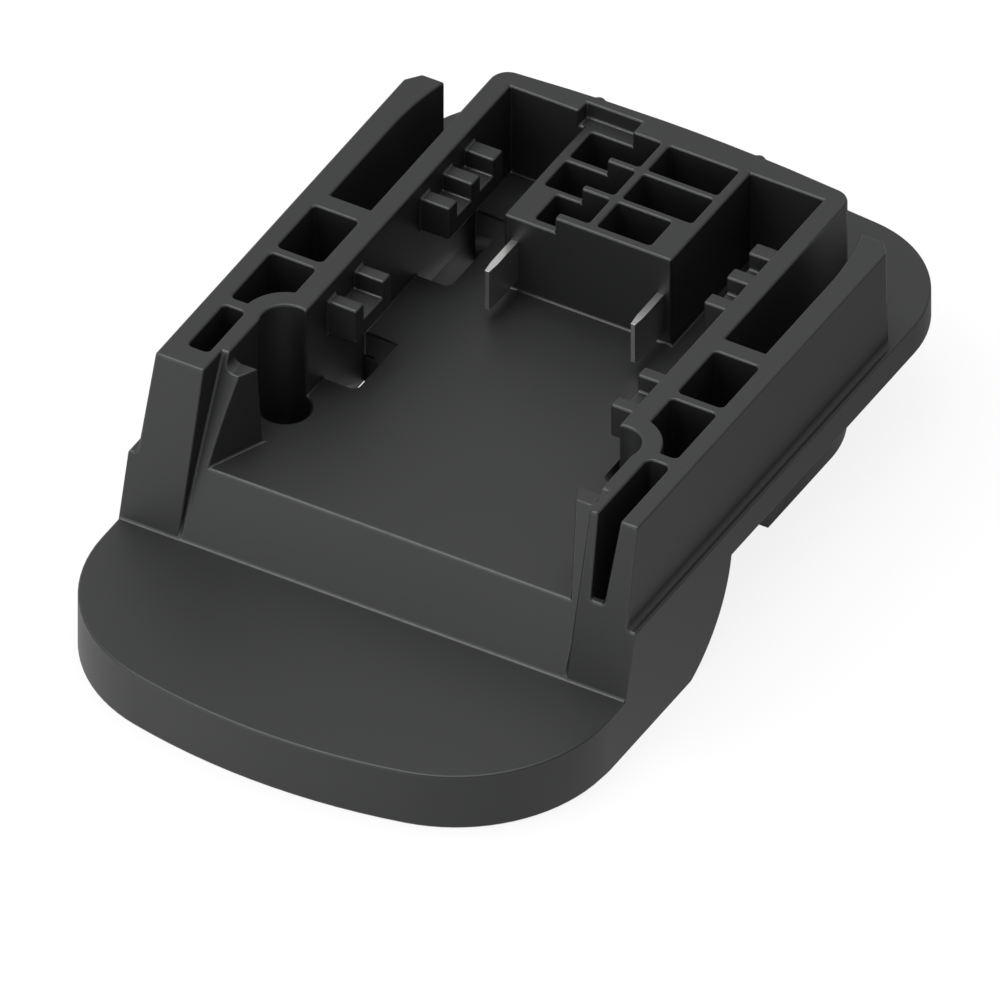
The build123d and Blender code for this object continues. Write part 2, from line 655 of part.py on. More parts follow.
def push_on_terminal(side, end, tab, tab_z):
    """Folded sleeve over a flat tab, with a crimp barrel that points to the middle."""
    y, z = end
    middle = side * BLADE_X
    spread = TERMINAL_SPAN / 2
    tall = TERMINAL_TALL / 2
    body = block(
        (middle - TERMINAL_HALF, middle + TERMINAL_HALF), (y - spread, y + spread), (z - tall, z + tall)
    )
    start = BLADE_X - TERMINAL_HALF
    barrel = Rot(0, 90, 0) * Cylinder(BARREL_R, start - BARREL_END)
    body += Pos(side * (start + BARREL_END) / 2, y, z) * barrel
    half = BLADE / 2 + TERMINAL_CLEAR
    return body - block((middle - half, middle + half), tab, tab_z)


def lead(side):
    """Insulated lead in a half turn from the upper terminal to the lower one.

    Four turns of 45 degrees, and five runs of one length that follow from the height between
    both ends: down and inwards, the route is half of a regular octagon.
    """
    upper = Vector(side * BARREL_END, *UPPER_END)
    lower = Vector(side * BARREL_END, *LOWER_END)
    drop = (lower - upper).normalized()
    inward = Vector(-side, 0, 0)
    run = (lower - upper).length / (1 + sqrt(2))
    route = [upper, upper + inward * run]
    route.append(route[-1] + (inward + drop).normalized() * run)
    route.append(route[-1] + drop * run)
    route.append(route[-1] + (drop - inward).normalized() * run)
    route.append(lower)
    radius = ARC_SHARE * run / tan(radians(LEAD_TURN / 2))
    path = FilletPolyline(*route, radius=[radius] * (len(route) - 2))
    section = Plane(origin=upper, z_dir=inward) * Circle(LEAD_R)
    tube = sweep(section, path=path)
    print("lead", side, "radius", round(radius, 2), "length", round(path.length, 2))
    print("volume against section x length", round(tube.volume / (section.area * path.length), 4))
    return tube


def screw(head_r, shank_r, under_head, head, tip, drive_r):
    """A pan-head screw with a round drive recess, its shank upwards."""
    body = post(0, 0, head_r, (under_head - head, under_head))
    body += post(0, 0, shank_r, (under_head, tip))
    return body - post(0, 0, drive_r, (under_head - head, under_head - head / 2))


def foot_screws():
    """Four screws from below, through the flange into the housing's bosses."""
    one = screw(HEAD_R, SHANK_R, HEAD_Z[1], HEAD_Z[1] - HEAD_Z[0], SHANK_TOP, DRIVE_R)
    places = [(side * x, y) for side in SIDES for x, y in FOOT_SCREWS]
    return Compound([Pos(x, y, 0) * one for x, y in places])


def carrier_screws():
    """Two screws from above that clamp the contact carrier to the plug's floor."""
    length = CARRIER_TOP - FOOT_FLOOR
    one = Rot(180, 0, 0) * screw(CARRIER_HEAD_R, CARRIER_SHANK_R, 0, CARRIER_HEAD, length, DRIVE_R)
    x, y = CARRIER_SCREW
    return Compound([Pos(side * x, y, CARRIER_TOP) * one for side in SIDES])


os.makedirs("parts", exist_ok=True)
nodes = {
    "housing": housing(),
    "device_foot": device_foot(),
    "contact_carrier": contact_carrier(),
    "foot_screws": foot_screws(),
    "carrier_screws": carrier_screws(),
}
for side, name in ((-1, "left"), (1, "right")):
    nodes["contact_blade_" + name] = contact_blade(side)
    nodes["spring_contact_" + name] = spring_contact(side)
    nodes["blade_terminal_" + name] = push_on_terminal(side, UPPER_END, TAIL, (TAIL_BOTTOM, CEILING))
    nodes["spring_terminal_" + name] = push_on_terminal(side, LOWER_END, (TAB_Y, SPRING_BASE), TAB_Z)
    nodes["lead_" + name] = lead(side)
for name, shape in nodes.items():
    export_step(shape, "parts/" + name + ".step")
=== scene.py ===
from math import cos, pi, radians, sin

import bpy
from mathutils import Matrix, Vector


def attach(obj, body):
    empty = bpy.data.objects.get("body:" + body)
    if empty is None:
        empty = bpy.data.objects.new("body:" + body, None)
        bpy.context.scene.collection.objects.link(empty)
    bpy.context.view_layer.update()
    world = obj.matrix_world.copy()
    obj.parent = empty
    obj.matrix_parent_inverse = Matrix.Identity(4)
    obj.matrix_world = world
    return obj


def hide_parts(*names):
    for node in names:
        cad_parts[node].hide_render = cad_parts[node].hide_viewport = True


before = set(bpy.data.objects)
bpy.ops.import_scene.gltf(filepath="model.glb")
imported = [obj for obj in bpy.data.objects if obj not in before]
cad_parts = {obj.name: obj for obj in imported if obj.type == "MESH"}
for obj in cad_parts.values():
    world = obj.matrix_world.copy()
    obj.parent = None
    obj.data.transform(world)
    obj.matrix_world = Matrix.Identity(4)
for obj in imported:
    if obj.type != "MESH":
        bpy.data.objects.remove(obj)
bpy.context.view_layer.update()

MM = 0.001

# Housing: the one-piece upper moulding with tongue, rails, teeth, back wall and contact block.
# It is glass-filled nylon, coloured charcoal in the mass and fine-grained by the mould's etching.
# Every edge has the small radius that lets the plastic fill the mould and leave it again.
MERGE_GAP = 0.003 * MM
FLAT_ANGLE = radians(1)
SHARP_ANGLE = radians(14)
EDGE_STEPS = 3
EDGE_RADIUS = 0.42 * MM
WEDGE_RADIUS = 0.22 * MM
HIDDEN_RADIUS = 0.15 * MM
RAIL_TOP = 37.5 * MM

# Places as ranges across, along and up, in millimetres. Across is counted from the middle
# plane where a place is on both sides.
ANYWHERE = (-100, 100)
UNDER_FLOOR = (ANYWHERE, (-36.5, 100), (-100, 20.5))
LEAD_IN_WEDGES = ((26, 32.5), (-33, -21.5), (21.1, 100))
SHARP_ON_BOTH_SIDES = {
    "front openings of the floor": ((21, 27.05), (-4.6, 8), (20.9, 21.1)),
    "rear openings of the floor": ((21, 27.05), (23.5, 41.2), (20.9, 21.1)),
    "slots round the blades": ((11.9, 13.3), (28, 35), ANYWHERE),
    "collars behind the heel": ((-1, 28), (-9.5, -3), (13, 17)),
    "lower rims of the collars": (ANYWHERE, ANYWHERE, (16.55, 16.75)),
    "ends of the ledges": ((40.5, 100), (43, 47), (-100, 22)),
}
SHARP_ON_THE_RIGHT = {
    "well of the front slot": ((34.6, 38.6), (-32.7, -13.9), (19.5, 24.9)),
    "rear corners of the front slot": ((34.6, 38.6), (-15.7, -13.9), (21, 37.4)),
}


def work_on(piece):
    """Makes one piece the only one selected and the active one."""
    bpy.ops.object.select_all(action="DESELECT")
    piece.select_set(True)
    bpy.context.view_layer.objects.active = piece


def merge_corners(piece):
    """Merges the corners of a piece that lie on one another."""
    work_on(piece)
    bpy.ops.object.mode_set(mode="EDIT")
    bpy.ops.mesh.select_all(action="SELECT")
    bpy.ops.mesh.remove_doubles(threshold=MERGE_GAP)
    bpy.ops.object.mode_set(mode="OBJECT")


def whole_copy(name, node):
    """A merged copy of a CAD node, its flat areas whole faces again, that stands for the node."""
    piece = bpy.data.objects.new(name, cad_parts[node].data.copy())
    bpy.context.scene.collection.objects.link(piece)
    merge_corners(piece)
    bpy.ops.object.mode_set(mode="EDIT")
    bpy.ops.mesh.select_all(action="SELECT")
    bpy.ops.mesh.dissolve_limited(angle_limit=FLAT_ANGLE, delimit=set())
    bpy.ops.object.mode_set(mode="OBJECT")
    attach(piece, "root")
    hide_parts(node)
    return piece


def round_edges(piece, radius_at, widest, steps):
    """Gives each sharp edge the radius that radius_at returns for its middle, and marks the new
    faces. An edge whose radius is 0 stays sharp."""
    work_on(piece)
    bpy.ops.object.mode_set(mode="EDIT")
    bpy.ops.mesh.select_mode(type="EDGE")
    bpy.ops.mesh.select_all(action="DESELECT")
    bpy.ops.mesh.edges_select_sharp(sharpness=SHARP_ANGLE)
    bpy.ops.object.mode_set(mode="OBJECT")
    mesh = piece.data
    weights = mesh.attributes.new("bevel_weight_edge", "FLOAT", "EDGE")
    for edge in mesh.edges:
        if edge.select:
            ends = [mesh.vertices[index].co for index in edge.vertices]
            radius = radius_at((ends[0] + ends[1]) / 2)
            weights.data[edge.index].value = radius / widest
            edge.use_edge_sharp = radius == 0
    mesh.materials.clear()
    mesh.materials.append(None)
    mesh.materials.append(None)
    bpy.ops.object.shade_smooth()
    rounding = piece.modifiers.new("edge radius", "BEVEL")
    rounding.limit_method = "WEIGHT"
    rounding.width = widest
    rounding.segments = steps
    rounding.use_clamp_overlap = False
    rounding.loop_slide = False
    rounding.material = 1
    bpy.ops.object.modifier_apply(modifier=rounding.name)
    weighted = piece.modifiers.new("flat faces", "WEIGHTED_NORMAL")
    weighted.weight = 100
    weighted.keep_sharp = True
    bpy.ops.object.modifier_apply(modifier=weighted.name)
    mesh = piece.data
    fillet = mesh.attributes.new("fillet", "FLOAT", "FACE")
    for face in mesh.polygons:
        fillet.data[face.index].value = face.material_index
        face.material_index = 0
    mesh.materials.clear()


def inside(spot, place):
    """Whether a spot in metres lies inside a place."""
    return all(low * MM < value < high * MM for value, (low, high) in zip(spot, place))


def housing_radius(middle):
    """Edge radius of the housing at one spot: none at the sharp places, small at the lead-in
    wedges and under the floor."""
    folded = (abs(middle.x), middle.y, middle.z)
    if any(inside(folded, place) for place in SHARP_ON_BOTH_SIDES.values()):
        return 0
    if any(inside(middle, place) for place in SHARP_ON_THE_RIGHT.values()):
        return 0
    if inside(folded, UNDER_FLOOR):
        return HIDDEN_RADIUS
    return WEDGE_RADIUS if inside(folded, LEAD_IN_WEDGES) else EDGE_RADIUS


def new_group(name, inputs, outputs):
    """A shader node group with named sockets, and its input and output nodes."""
    group = bpy.data.node_groups.new(name, "ShaderNodeTree")
    for label, kind, value in inputs:
        socket = group.interface.new_socket(label, in_out="INPUT", socket_type=kind)
        if value is not None:
            socket.default_value = value
    for label, kind in outputs:
        group.interface.new_socket(label, in_out="OUTPUT", socket_type=kind)
    return group, group.nodes.new("NodeGroupInput"), group.nodes.new("NodeGroupOutput")


def grain_group():
    """Etched mould grain: a fine height, a gloss that follows it and a slow change of tone."""
    group, start, end = new_group(
        "mould grain",
        [
            ("Grain Scale", "NodeSocketFloat", 4200.0),
            ("Roughness", "NodeSocketFloat", 0.38),
            ("Spread", "NodeSocketFloat", 0.06),
            ("Depth", "NodeSocketFloat", 0.00001),
            ("Strength", "NodeSocketFloat", 0.2),
        ],
        [
            ("Roughness", "NodeSocketFloat"),
            ("Tone", "NodeSocketFloat"),
            ("Normal", "NodeSocketVector"),
        ],
    )
    nodes, links = group.nodes, group.links
    place = nodes.new("ShaderNodeTexCoord")
    fine = nodes.new("ShaderNodeTexNoise")
    fine.inputs["Detail"].default_value = 2
    links.new(place.outputs["Object"], fine.inputs["Vector"])
    links.new(start.outputs["Grain Scale"], fine.inputs["Scale"])
    slow = nodes.new("ShaderNodeTexNoise")
    slow.inputs["Scale"].default_value = 60
    slow.inputs["Detail"].default_value = 4
    links.new(place.outputs["Object"], slow.inputs["Vector"])
    mixed = nodes.new("ShaderNodeMix")
    mixed.inputs["Factor"].default_value = 0.5
    links.new(fine.outputs["Fac"], mixed.inputs["A"])
    links.new(slow.outputs["Fac"], mixed.inputs["B"])
    centred = nodes.new("ShaderNodeMath")
    centred.operation = "SUBTRACT"
    centred.inputs[1].default_value = 0.5
    links.new(mixed.outputs["Result"], centred.inputs[0])
    gloss = nodes.new("ShaderNodeMath")
    gloss.operation = "MULTIPLY_ADD"
    links.new(centred.outputs["Value"], gloss.inputs[0])
    links.new(start.outputs["Spread"], gloss.inputs[1])
    links.new(start.outputs["Roughness"], gloss.inputs[2])
    links.new(gloss.outputs["Value"], end.inputs["Roughness"])
    tone = nodes.new("ShaderNodeMapRange")
    tone.inputs["To Min"].default_value = 0.94
    tone.inputs["To Max"].default_value = 1.06
    links.new(slow.outputs["Fac"], tone.inputs["Value"])
    links.new(tone.outputs["Result"], end.inputs["Tone"])
    bump = nodes.new("ShaderNodeBump")
    links.new(start.outputs["Strength"], bump.inputs["Strength"])
    links.new(start.outputs["Depth"], bump.inputs["Distance"])
    links.new(fine.outputs["Fac"], bump.inputs["Height"])
    links.new(bump.outputs["Normal"], end.inputs["Normal"])
    return group


def edge_group():
    """The rounded edges, broken up by noise, as a mask: plastics paint a lighter highlight on them
    and every material makes them smoother.
    """
    group, start, end = new_group(
        "edge highlight and gloss",
        [("Amount", "NodeSocketFloat", 1.0), ("Break Up", "NodeSocketFloat", 900.0)],
        [("Mask", "NodeSocketFloat")],
    )
    nodes, links = group.nodes, group.links
    fillet = nodes.new("ShaderNodeAttribute")
    fillet.attribute_name = "fillet"
    place = nodes.new("ShaderNodeTexCoord")
    noise = nodes.new("ShaderNodeTexNoise")
    noise.inputs["Detail"].default_value = 3
    links.new(place.outputs["Object"], noise.inputs["Vector"])
    links.new(start.outputs["Break Up"], noise.inputs["Scale"])
    rubbed = nodes.new("ShaderNodeMapRange")
    rubbed.inputs["From Min"].default_value = 0.3
    rubbed.inputs["From Max"].default_value = 0.6
    rubbed.inputs["To Min"].default_value = 0.6
    links.new(noise.outputs["Fac"], rubbed.inputs["Value"])
    masked = nodes.new("ShaderNodeMath")
    masked.operation = "MULTIPLY"
    links.new(fillet.outputs["Fac"], masked.inputs[0])
    links.new(rubbed.outputs["Result"], masked.inputs[1])
    scaled = nodes.new("ShaderNodeMath")
    scaled.operation = "MULTIPLY"
    links.new(masked.outputs["Value"], scaled.inputs[0])
    links.new(start.outputs["Amount"], scaled.inputs[1])
    links.new(scaled.outputs["Value"], end.inputs["Mask"])
    return group


mould_grain = grain_group()
edge_highlight_and_gloss = edge_group()


def new_material(name):
    """A node material with its Principled shader, ready to be wired."""
    material = bpy.data.materials.new(name)
    material.use_nodes = True
    return material, material.node_tree, material.node_tree.nodes["Principled BSDF"]


def add_group(tree, group, **values):
    """A group's node in a material, with some of its inputs set."""
    node = tree.nodes.new("ShaderNodeGroup")
    node.node_tree = group
    for label, value in values.items():
        node.inputs[label.replace("_", " ")].default_value = value
    return node


PLASTIC_GLOSS = 0.65
PLASTIC_TINT = (0.985, 1, 1, 1)


def plastic(name, colour, painted_highlight_colour, roughness, edge_roughness):
    """Matte moulded plastic with mould grain, its edges a little smoother and painted lighter as a
    highlight.
    """
    material, tree, shader = new_material(name)
    nodes, links = tree.nodes, tree.links
    grain = add_group(tree, mould_grain, Roughness=roughness)
    edge_mask = add_group(tree, edge_highlight_and_gloss)
    # A lighter colour is painted on the rounded edges as a highlight, mixed in by the edge mask.
    painted_highlight = nodes.new("ShaderNodeMix")
    painted_highlight.data_type = "RGBA"
    painted_highlight.inputs["A"].default_value = colour
    painted_highlight.inputs["B"].default_value = painted_highlight_colour
    links.new(edge_mask.outputs["Mask"], painted_highlight.inputs["Factor"])
    shade = nodes.new("ShaderNodeMix")
    shade.data_type = "RGBA"
    shade.blend_type = "MULTIPLY"
    shade.inputs["Factor"].default_value = 1
    links.new(painted_highlight.outputs["Result"], shade.inputs["A"])
    links.new(grain.outputs["Tone"], shade.inputs["B"])
    links.new(shade.outputs["Result"], shader.inputs["Base Color"])
    gloss = nodes.new("ShaderNodeMix")
    gloss.inputs["B"].default_value = edge_roughness
    links.new(edge_mask.outputs["Mask"], gloss.inputs["Factor"])
    links.new(grain.outputs["Roughness"], gloss.inputs["A"])
    links.new(gloss.outputs["Result"], shader.inputs["Roughness"])
    links.new(grain.outputs["Normal"], shader.inputs["Normal"])
    shader.inputs["Specular IOR Level"].default_value = PLASTIC_GLOSS
    shader.inputs["Specular Tint"].default_value = PLASTIC_TINT
    return material


housing = whole_copy("housing_shell", "housing")

# The front slot's leaning side walls meet its round rear corners in slivers, closed here: each
# corner of the mesh that lies this near behind the start of the turn is moved to that start.
SLOT_MIDDLE = 36.675 * MM
SLOT_HALF = 1.9 * MM
SLOT_TURN_Y = -15.32 * MM
SLIVER_WIDTH = 0.04 * MM
SLIVER_LENGTH = 0.26 * MM
SLIVER_DEPTH = 0.6 * MM
for corner in housing.data.vertices:
    side = 1 if corner.co.x > SLOT_MIDDLE else -1
    turn = (SLOT_MIDDLE + side * SLOT_HALF, SLOT_TURN_Y, RAIL_TOP)
    across, along, up = (here - there for here, there in zip(corner.co, turn))
    if abs(across) < SLIVER_WIDTH and 0 < along < SLIVER_LENGTH and up > -SLIVER_DEPTH:
        corner.co = turn
merge_corners(housing)

# The charcoal, and a lighter charcoal painted on the rounded edges as a highlight.
CHARCOAL = (0.006, 0.0062, 0.0061, 1)
CHARCOAL_PAINTED_HIGHLIGHT = (0.009, 0.0093, 0.0092, 1)
round_edges(housing, housing_radius, EDGE_RADIUS, EDGE_STEPS)
housing.data.materials.append(
    plastic("charcoal_plastic", CHARCOAL, CHARCOAL_PAINTED_HIGHLIGHT, roughness=0.5, edge_roughness=0.32)
)

# Contact blades: two flat blades with tapered tips, stamped from sheet and nickel plated.
# The housing is moulded around them, so their tails come out again under the floor.
BLADE_RADIUS = 0.05 * MM
BLADE_STEPS = 2


def brushed_group():
    """Fine parallel lines left by rolling: a height, a tone and a gloss that vary across them."""
    group, start, end = new_group(
        "brushed metal",
        [
            ("Lines", "NodeSocketVector", (900.0, 900.0, 6000.0)),
            ("Roughness", "NodeSocketFloat", 0.3),
            ("Spread", "NodeSocketFloat", 0.15),
            ("Strength", "NodeSocketFloat", 0.1),
        ],
        [
            ("Roughness", "NodeSocketFloat"),
            ("Tone", "NodeSocketFloat"),
            ("Normal", "NodeSocketVector"),
        ],
    )
    nodes, links = group.nodes, group.links
    place = nodes.new("ShaderNodeTexCoord")
    stretched = nodes.new("ShaderNodeVectorMath")
    stretched.operation = "MULTIPLY"
    links.new(place.outputs["Object"], stretched.inputs[0])
    links.new(start.outputs["Lines"], stretched.inputs[1])
    lines = nodes.new("ShaderNodeTexNoise")
    lines.inputs["Scale"].default_value = 1
    lines.inputs["Detail"].default_value = 3
    links.new(stretched.outputs["Vector"], lines.inputs["Vector"])
    centred = nodes.new("ShaderNodeMath")
    centred.operation = "SUBTRACT"
    centred.inputs[1].default_value = 0.5
    links.new(lines.outputs["Fac"], centred.inputs[0])
    gloss = nodes.new("ShaderNodeMath")
    gloss.operation = "MULTIPLY_ADD"
    links.new(centred.outputs["Value"], gloss.inputs[0])
    links.new(start.outputs["Spread"], gloss.inputs[1])
    links.new(start.outputs["Roughness"], gloss.inputs[2])
    links.new(gloss.outputs["Value"], end.inputs["Roughness"])
    tone = nodes.new("ShaderNodeMapRange")
    tone.inputs["To Min"].default_value = 0.9
    tone.inputs["To Max"].default_value = 1.0
    links.new(lines.outputs["Fac"], tone.inputs["Value"])
    links.new(tone.outputs["Result"], end.inputs["Tone"])
    bump = nodes.new("ShaderNodeBump")
    bump.inputs["Distance"].default_value = 0.01 * MM
    links.new(start.outputs["Strength"], bump.inputs["Strength"])
    links.new(lines.outputs["Fac"], bump.inputs["Height"])
    links.new(bump.outputs["Normal"], end.inputs["Normal"])
    return group


brushed_metal = brushed_group()


def metal(name, colour, roughness, edge_roughness, lines, streaks):
    """Bare or plated metal with fine lines, its edges rubbed a little brighter and smoother."""
    material, tree, shader = new_material(name)
    nodes, links = tree.nodes, tree.links
    brushed = add_group(
        tree, brushed_metal, Lines=lines, Roughness=roughness, Spread=streaks, Strength=streaks
    )
    edge_mask = add_group(tree, edge_highlight_and_gloss)
    shade = nodes.new("ShaderNodeMix")
    shade.data_type = "RGBA"
    shade.blend_type = "MULTIPLY"
    shade.inputs["Factor"].default_value = 1
    shade.inputs["A"].default_value = colour
    links.new(brushed.outputs["Tone"], shade.inputs["B"])
    links.new(shade.outputs["Result"], shader.inputs["Base Color"])
    gloss = nodes.new("ShaderNodeMix")
    gloss.inputs["B"].default_value = edge_roughness
    links.new(edge_mask.outputs["Mask"], gloss.inputs["Factor"])
    links.new(brushed.outputs["Roughness"], gloss.inputs["A"])
    links.new(gloss.outputs["Result"], shader.inputs["Roughness"])
    links.new(brushed.outputs["Normal"], shader.inputs["Normal"])
    shader.inputs["Metallic"].default_value = 1
    return material


NICKEL = (0.62, 0.62, 0.61, 1)
blade_nickel = metal(
    "blade_nickel",
    NICKEL,
    roughness=0.36,
    edge_roughness=0.3,
    lines=(400, 300, 9000),
    streaks=0.04,
)
for side in ("left", "right"):
    blade = whole_copy("blade_" + side, "contact_blade_" + side)
    round_edges(blade, lambda middle: BLADE_RADIUS, BLADE_RADIUS, BLADE_STEPS)
    blade.data.materials.append(blade_nickel)

# Foot: the lower moulding, with a hollow plug for the device and a flange under the plate.
# It is moulded in the housing's own plastic, with bays beside the plug that leave the floor's
# openings free.
FOOT_RADIUS = 0.2 * MM
FLANGE_TOP = 12.8 * MM


def foot_radius(middle):
    """Edge radius of the foot: none above the flange, where it carries on the openings' faces."""
    return 0 if middle.z > FLANGE_TOP else FOOT_RADIUS


foot = whole_copy("foot_shell", "device_foot")
round_edges(foot, foot_radius, FOOT_RADIUS, EDGE_STEPS)
foot.data.materials.append(
    plastic("foot_plastic", CHARCOAL, CHARCOAL_PAINTED_HIGHLIGHT, roughness=0.5, edge_roughness=0.4)
)

# Spring contacts: twin leaves of bare copper alloy that grip the device's blades in the plug.
# Each is stamped and folded, so its edges are sharp and its faces carry the rolling lines.
SPRING_RADIUS = 0.06 * MM
COPPER = (0.72, 0.46, 0.3, 1)
spring_copper = metal(
    "spring_copper",
    COPPER,
    roughness=0.28,
    edge_roughness=0.2,
    lines=(500, 200, 8000),
    streaks=0.12,
)
for side in ("left", "right"):
    spring = whole_copy("spring_" + side, "spring_contact_" + side)
    round_edges(spring, lambda middle: SPRING_RADIUS, SPRING_RADIUS, BLADE_STEPS)
    spring.data.materials.append(spring_copper)

# Contact carrier: an ivory insulating block, moulded, that holds both spring contacts in channels.
# It sits on two posts of the foot.
CARRIER_RADIUS = 0.25 * MM
IVORY = (0.62, 0.6, 0.54, 1)
# A lighter ivory is painted on the rounded edges as a highlight.
IVORY_PAINTED_HIGHLIGHT = (0.68, 0.66, 0.6, 1)
carrier = whole_copy("carrier_block", "contact_carrier")
round_edges(carrier, lambda middle: CARRIER_RADIUS, CARRIER_RADIUS, EDGE_STEPS)
carrier.data.materials.append(
    plastic("ivory_plastic", IVORY, IVORY_PAINTED_HIGHLIGHT, roughness=0.42, edge_roughness=0.36)
)

# Carrier screws: two zinc-plated pan heads with a cross recess and a coarse thread for plastic.
# They clamp the carrier to the foot's posts from above.
RECESS_HALF_WIDTH = 0.32 * MM
RECESS_HALF_LENGTH = 1.15 * MM
RECESS_DEPTH = 0.85 * MM
RECESS_END_SHARE = 0.6
CORE_OVERLAP = 0.2 * MM
BARE_START = 0.4 * MM
BARE_PITCHES = 1.6
SCREW_SIDES = 48
THREAD_STEPS = 24
SMOOTH_ANGLE = radians(30)
# The head's round as a share of its height, the others as shares of the shank's radius.
ROUND_SHARE = 0.55
CORE_SHARE = 0.8
POINT_SHARE = 0.45
ROOT_SHARE = 0.75
ROUND_STEPS = 6
POINT_STEPS = 2
ZINC = (0.6, 0.61, 0.63, 1)
zinc = metal(
    "zinc_plate", ZINC, roughness=0.3, edge_roughness=0.22, lines=(2500, 2500, 2500), streaks=0.12
)


def upright_cylinder(radius, low, high):
    """A round bar between two heights, the only selected piece, in edit mode."""
    bpy.ops.object.select_all(action="DESELECT")
    bpy.ops.mesh.primitive_cylinder_add(
        vertices=SCREW_SIDES, radius=radius, depth=high - low, location=(0, 0, (low + high) / 2)
    )
    piece = bpy.context.object
    bpy.ops.object.transform_apply(location=True, rotation=True, scale=True)
    bpy.ops.object.mode_set(mode="EDIT")
    return piece


def select_rim(piece, height):
    """Selects the edges that lie at one height."""
    bpy.ops.mesh.select_mode(type="EDGE")
    bpy.ops.mesh.select_all(action="DESELECT")
    bpy.ops.object.mode_set(mode="OBJECT")
    for edge in piece.data.edges:
        heights = [piece.data.vertices[index].co.z for index in edge.vertices]
        edge.select = max(abs(value - height) for value in heights) < MERGE_GAP
    bpy.ops.object.mode_set(mode="EDIT")


def one_screw(head_radius, head, shank_radius, length, pitch):
    """A pan-head screw, its head below z = 0 and its threaded shank above."""
    top = upright_cylinder(head_radius, -head, 0)
    select_rim(top, -head)
    bpy.ops.mesh.bevel(
        offset=ROUND_SHARE * head, offset_type="OFFSET", segments=ROUND_STEPS, affect="EDGES"
    )
    bpy.ops.object.mode_set(mode="OBJECT")
    wings = []
    arm = (RECESS_HALF_WIDTH, RECESS_HALF_LENGTH)
    for half_x, half_y in (arm, arm[::-1]):
        bpy.ops.object.select_all(action="DESELECT")
        bpy.ops.mesh.primitive_cube_add(size=2, location=(0, 0, -head))
        wing = bpy.context.object
        wing.scale = (half_x, half_y, RECESS_DEPTH)
        bpy.ops.object.transform_apply(location=True, rotation=True, scale=True)
        for corner in wing.data.vertices:
            if corner.co.z > -head:
                corner.co.x *= RECESS_END_SHARE
                corner.co.y *= RECESS_END_SHARE
        wings.append(wing)
    for wing in wings:
        work_on(top)
        recess = top.modifiers.new("recess", "BOOLEAN")
        recess.object = wing
        recess.solver = "EXACT"
        bpy.ops.object.modifier_apply(modifier=recess.name)
        bpy.data.objects.remove(wing)
    core = upright_cylinder(CORE_SHARE * shank_radius, -CORE_OVERLAP, length)
    select_rim(core, length)
    bpy.ops.mesh.bevel(
        offset=POINT_SHARE * shank_radius,
        offset_type="OFFSET",
        segments=POINT_STEPS,
        affect="EDGES",
    )
    bpy.ops.object.mode_set(mode="OBJECT")
    profile = bpy.data.meshes.new("thread")
    root, crest = ROOT_SHARE * shank_radius, BARE_START + pitch / 2
    points = [(root, 0, BARE_START), (shank_radius, 0, crest), (root, 0, BARE_START + pitch)]
    profile.from_pydata(points, [(0, 1), (1, 2), (2, 0)], [])
    thread = bpy.data.objects.new("thread", profile)
    bpy.context.scene.collection.objects.link(thread)
    work_on(thread)
    winding = thread.modifiers.new("winding", "SCREW")
    winding.axis = "Z"
    winding.screw_offset = pitch
    winding.angle = 2 * pi
    winding.iterations = int((length - BARE_START - BARE_PITCHES * pitch) / pitch)
    winding.steps = THREAD_STEPS
    winding.render_steps = THREAD_STEPS
    bpy.ops.object.modifier_apply(modifier=winding.name)
    bpy.ops.object.mode_set(mode="EDIT")
    bpy.ops.mesh.select_all(action="SELECT")
    bpy.ops.mesh.fill_holes(sides=3)
    bpy.ops.mesh.normals_make_consistent(inside=False)
    bpy.ops.object.mode_set(mode="OBJECT")
    bpy.ops.object.select_all(action="DESELECT")
    for item in (thread, core, top):
        item.select_set(True)
    bpy.context.view_layer.objects.active = top
    bpy.ops.object.join()
    bpy.ops.object.shade_smooth_by_angle(angle=SMOOTH_ANGLE)
    return top


# Degrees by which a screw is turned for each millimetre of its place, so that no two recesses
# stand alike.
TURN_BY_X = 7
TURN_BY_Y = 31
ZINC_WEAR = 0.4


def set_of_screws(name, node, screw, places, upside_down):
    """Copies of one screw at their places, joined into one piece that stands for the CAD node."""
    items = []
    for x, y, z in places:
        item = screw.copy()
        item.data = screw.data.copy()
        bpy.context.scene.collection.objects.link(item)
        item.location = (x * MM, y * MM, z * MM)
        turn = radians(TURN_BY_X * x + TURN_BY_Y * y)
        item.rotation_euler = (pi if upside_down else 0, 0, turn)
        items.append(item)
    bpy.data.objects.remove(screw)
    bpy.ops.object.select_all(action="DESELECT")
    for item in items:
        item.select_set(True)
    bpy.context.view_layer.objects.active = items[0]
    bpy.ops.object.transform_apply(location=True, rotation=True, scale=True)
    bpy.ops.object.join()
    piece = bpy.context.object
    piece.name = name
    fillet = piece.data.attributes.new("fillet", "FLOAT", "FACE")
    for face in piece.data.polygons:
        fillet.data[face.index].value = ZINC_WEAR
    piece.data.materials.clear()
    piece.data.materials.append(zinc)
    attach(piece, "root")
    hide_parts(node)


carrier_screw = one_screw(
    head_radius=2.2 * MM, head=1.5 * MM, shank_radius=1.05 * MM, length=8.4 * MM, pitch=0.9 * MM
)
posts = [(-6, 35, 10.4), (6, 35, 10.4)]
set_of_screws("carrier_screw_pair", "carrier_screws", carrier_screw, posts, upside_down=True)

# Terminals: tin-plated brass sleeves, folded from strip and pushed on the blade tails and on the
# tabs of the spring contacts. Each has a barrel crimped on its lead.
TERMINAL_RADIUS = 0.12 * MM
TIN = (0.72, 0.7, 0.66, 1)
tin = metal(
    "tin_plate", TIN, roughness=0.34, edge_roughness=0.26, lines=(700, 5000, 700), streaks=0.12
)
for kind in ("blade_terminal", "spring_terminal"):
    for side in ("left", "right"):
        sleeve = whole_copy(kind + "_sleeve_" + side, kind + "_" + side)
        round_edges(sleeve, lambda middle: TERMINAL_RADIUS, TERMINAL_RADIUS, EDGE_STEPS)
        sleeve.data.materials.append(tin)

